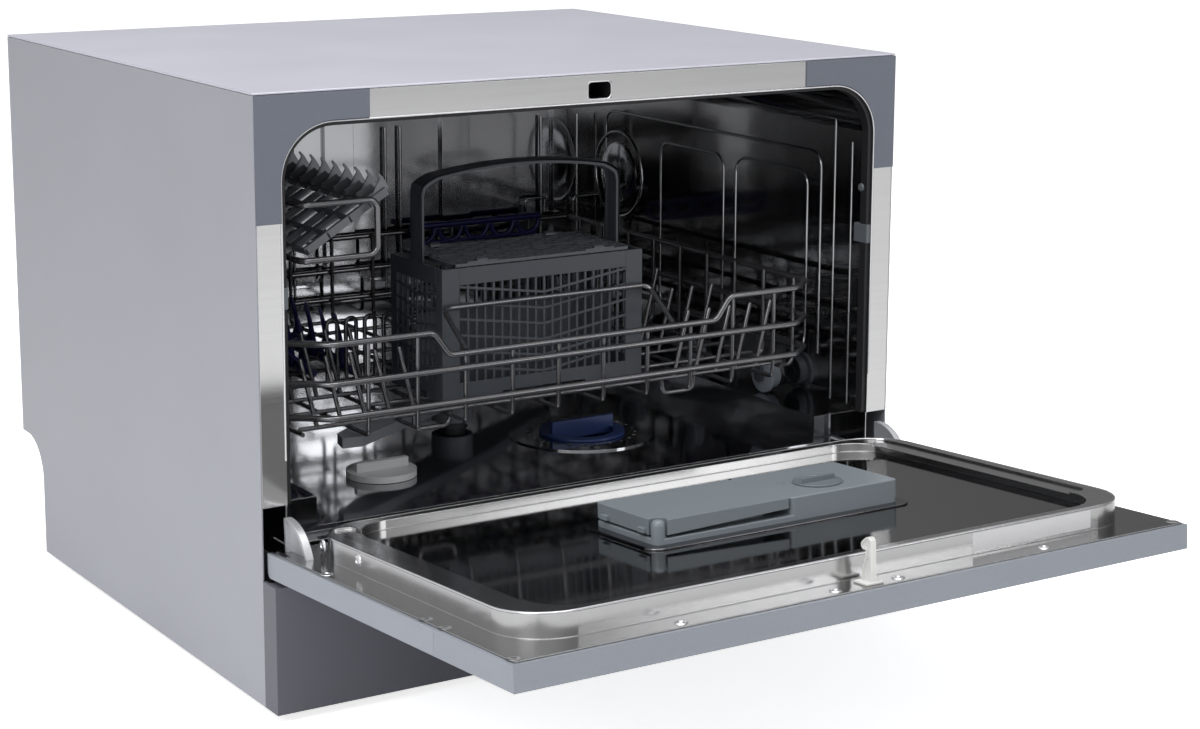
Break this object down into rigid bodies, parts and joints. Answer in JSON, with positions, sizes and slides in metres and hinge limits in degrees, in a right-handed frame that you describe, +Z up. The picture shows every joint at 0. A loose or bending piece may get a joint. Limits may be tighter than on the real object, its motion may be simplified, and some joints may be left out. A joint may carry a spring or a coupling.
{
  "type": "countertop dishwasher",
  "caption": "Compact countertop dishwasher with a drop-down door, a steel tub, and a pull-out wheeled wire basket with cutlery basket, cup shelves and tines.",
  "frame": {"origin": "middle of the footprint, on the surface it stands on, with the door open and the basket pushed in", "axes": "+Y towards the back of the cabinet, +Z up, +X to the right seen from the front"},
  "size_m": [0.55, 0.8188, 0.438],
  "materials": {
    "side_steel": "satin",
    "top_steel": "satin",
    "back_steel": "satin",
    "base_steel": "satin",
    "rubber": "matt",
    "plinth_plastic": "satin",
    "trim_plastic": "satin",
    "tub_steel": "brushed",
    "hinge_steel": "plain",
    "bright_steel": "polished",
    "black_plastic": "matt",
    "works_plastic": "matt",
    "pale_plastic": "matt",
    "spray_plastic": "satin",
    "filter_blue": "matt",
    "door_steel": "satin",
    "panel_plastic": "satin",
    "dispenser_plastic": "satin",
    "display": "dark",
    "board": "matt",
    "button_plastic": "satin",
    "coated_wire": "coated",
    "navy_plastic": "satin",
    "clip_plastic": "satin",
    "wheel_plastic": "satin",
    "cutlery_plastic": "satin",
    "handle_plastic": "satin",
    "shelf_plastic": "gloss"
  },
  "bodies": {
    "cabinet": {"base_pan": "base_steel", "rubber_feet": "rubber", "left_side_panel": "side_steel", "right_side_panel": "side_steel", "top_panel": "top_steel", "back_panel": "back_steel", "plinth_panel": "plinth_plastic", "corner_trims": "trim_plastic", "tub_wrap": "tub_steel", "tub_back_wall": "tub_steel", "tub_floor": "tub_steel", "door_seal": "rubber", "door_lock": "black_plastic", "hinge_brackets": "hinge_steel", "hinge_pins": "bright_steel", "sump": "works_plastic", "filter_plate": "tub_steel", "wash_pump": "works_plastic", "drain_pump": "works_plastic", "water_softener": "pale_plastic", "inlet_valve": "pale_plastic", "rear_fittings": "works_plastic", "air_break": "pale_plastic", "cabinet_screws": "bright_steel"},
    "door": {"door_outer_panel": "door_steel", "control_panel": "panel_plastic", "door_liner": "tub_steel", "hinge_arms": "hinge_steel", "hinge_covers": "bright_steel", "latch_hook": "pale_plastic", "dispenser_body": "dispenser_plastic", "door_screws": "bright_steel", "display_window": "display", "control_board": "board"},
    "basket": {"basket_floor": "coated_wire", "basket_left_wall": "coated_wire", "basket_right_wall": "coated_wire", "basket_front_wall": "coated_wire", "basket_back_wall": "coated_wire", "shelf_frame": "coated_wire", "wire_tines": "coated_wire", "blue_tines": "navy_plastic", "axle_clips": "clip_plastic", "cutlery_basket": "cutlery_plastic", "cutlery_handle": "handle_plastic"},
    "detergent_lid": {"dispenser_lid": "dispenser_plastic"},
    "rinse_cap": {"rinse_cap": "dispenser_plastic"},
    "power_button": {"power_button": "button_plastic"},
    "start_button": {"start_button": "button_plastic"},
    "cutlery_lid_front": {"cutlery_lid_front": "cutlery_plastic"},
    "cutlery_lid_back": {"cutlery_lid_back": "cutlery_plastic"},
    "cup_shelf_front": {"cup_shelf_front": "shelf_plastic"},
    "cup_shelf_rear": {"cup_shelf_rear": "shelf_plastic"},
    "wheel_row_1": {"wheel_row_1": "wheel_plastic"},
    "wheel_row_2": {"wheel_row_2": "wheel_plastic"},
    "wheel_row_3": {"wheel_row_3": "wheel_plastic"},
    "wheel_row_4": {"wheel_row_4": "wheel_plastic"},
    "spray_arm": {"spray_arm": "spray_plastic"},
    "micro_filter": {"micro_filter": "filter_blue"},
    "salt_cap": {"salt_cap": "pale_plastic"}
  },
  "joints": [
    {"name": "door_hinge", "type": "hinge", "parent": "cabinet", "child": "door", "pos_m": [0, -0.08256, 0.11], "axis": [-1, 0, 0], "range_deg": [0, 86.5]},
    {"name": "basket_slide", "type": "slide", "parent": "cabinet", "child": "basket", "axis": [0, 1, 0], "range_m": [-0.266, 0]},
    {"name": "cup_shelf_front_fold", "type": "hinge", "parent": "basket", "child": "cup_shelf_front", "pos_m": [-0.222, 0.06645, 0.312], "axis": [0, -1, 0], "range_deg": [0, 40]},
    {"name": "cup_shelf_rear_fold", "type": "hinge", "parent": "basket", "child": "cup_shelf_rear", "pos_m": [-0.222, 0.25344, 0.312], "axis": [0, -1, 0], "range_deg": [0, 40]},
    {"name": "cutlery_lid_front_hinge", "type": "hinge", "parent": "basket", "child": "cutlery_lid_front", "pos_m": [-0.004, 0.00319, 0.2902], "axis": [1, 0, 0], "range_deg": [0, 100]},
    {"name": "cutlery_lid_back_hinge", "type": "hinge", "parent": "basket", "child": "cutlery_lid_back", "pos_m": [-0.004, 0.0797, 0.2902], "axis": [-1, 0, 0], "range_deg": [0, 100]},
    {"name": "detergent_lid_hinge", "type": "hinge", "parent": "door", "child": "detergent_lid", "pos_m": [-0.08, -0.22943, 0.14934], "axis": [0, -0.9981, 0.061], "range_deg": [0, 180]},
    {"name": "rinse_cap_turn", "type": "hinge", "parent": "door", "child": "rinse_cap", "pos_m": [0.0775, -0.23892, 0.15793], "axis": [0, 0.061, 0.9981], "range_deg": [0, 90]},
    {"name": "power_button_press", "type": "slide", "parent": "door", "child": "power_button", "axis": [0, 0.061, 0.9981], "range_m": [0, 0.002], "stiffness_N_per_m": 300},
    {"name": "start_button_press", "type": "slide", "parent": "door", "child": "start_button", "axis": [0, 0.061, 0.9981], "range_m": [0, 0.002], "stiffness_N_per_m": 300},
    {"name": "spray_arm_spin", "type": "hinge", "parent": "cabinet", "child": "spray_arm", "pos_m": [0, 0.15444, 0.15], "axis": [0, 0, 1], "continuous": true},
    {"name": "micro_filter_turn", "type": "hinge", "parent": "cabinet", "child": "micro_filter", "pos_m": [0.078, 0.07744, 0.124], "axis": [0, 0, 1], "range_deg": [0, 90]},
    {"name": "salt_cap_turn", "type": "hinge", "parent": "cabinet", "child": "salt_cap", "pos_m": [-0.12, 0.04945, 0.124], "axis": [0, 0, 1], "range_deg": [0, 180]},
    {"name": "wheel_row_1_roll", "type": "hinge", "parent": "basket", "child": "wheel_row_1", "pos_m": [0, 0.04244, 0.161], "axis": [-1, 0, 0], "continuous": true},
    {"name": "wheel_row_2_roll", "type": "hinge", "parent": "basket", "child": "wheel_row_2", "pos_m": [0, 0.15244, 0.161], "axis": [-1, 0, 0], "continuous": true},
    {"name": "wheel_row_3_roll", "type": "hinge", "parent": "basket", "child": "wheel_row_3", "pos_m": [0, 0.24544, 0.161], "axis": [-1, 0, 0], "continuous": true},
    {"name": "wheel_row_4_roll", "type": "hinge", "parent": "basket", "child": "wheel_row_4", "pos_m": [0, 0.32344, 0.161], "axis": [-1, 0, 0], "continuous": true}
  ],
  "couplings": [
    {"joint": "wheel_row_1_roll", "follows": "basket_slide", "rad_per_m": 66.667},
    {"joint": "wheel_row_2_roll", "follows": "basket_slide", "rad_per_m": 66.667},
    {"joint": "wheel_row_3_roll", "follows": "basket_slide", "rad_per_m": 66.667},
    {"joint": "wheel_row_4_roll", "follows": "basket_slide", "rad_per_m": 66.667}
  ]
}
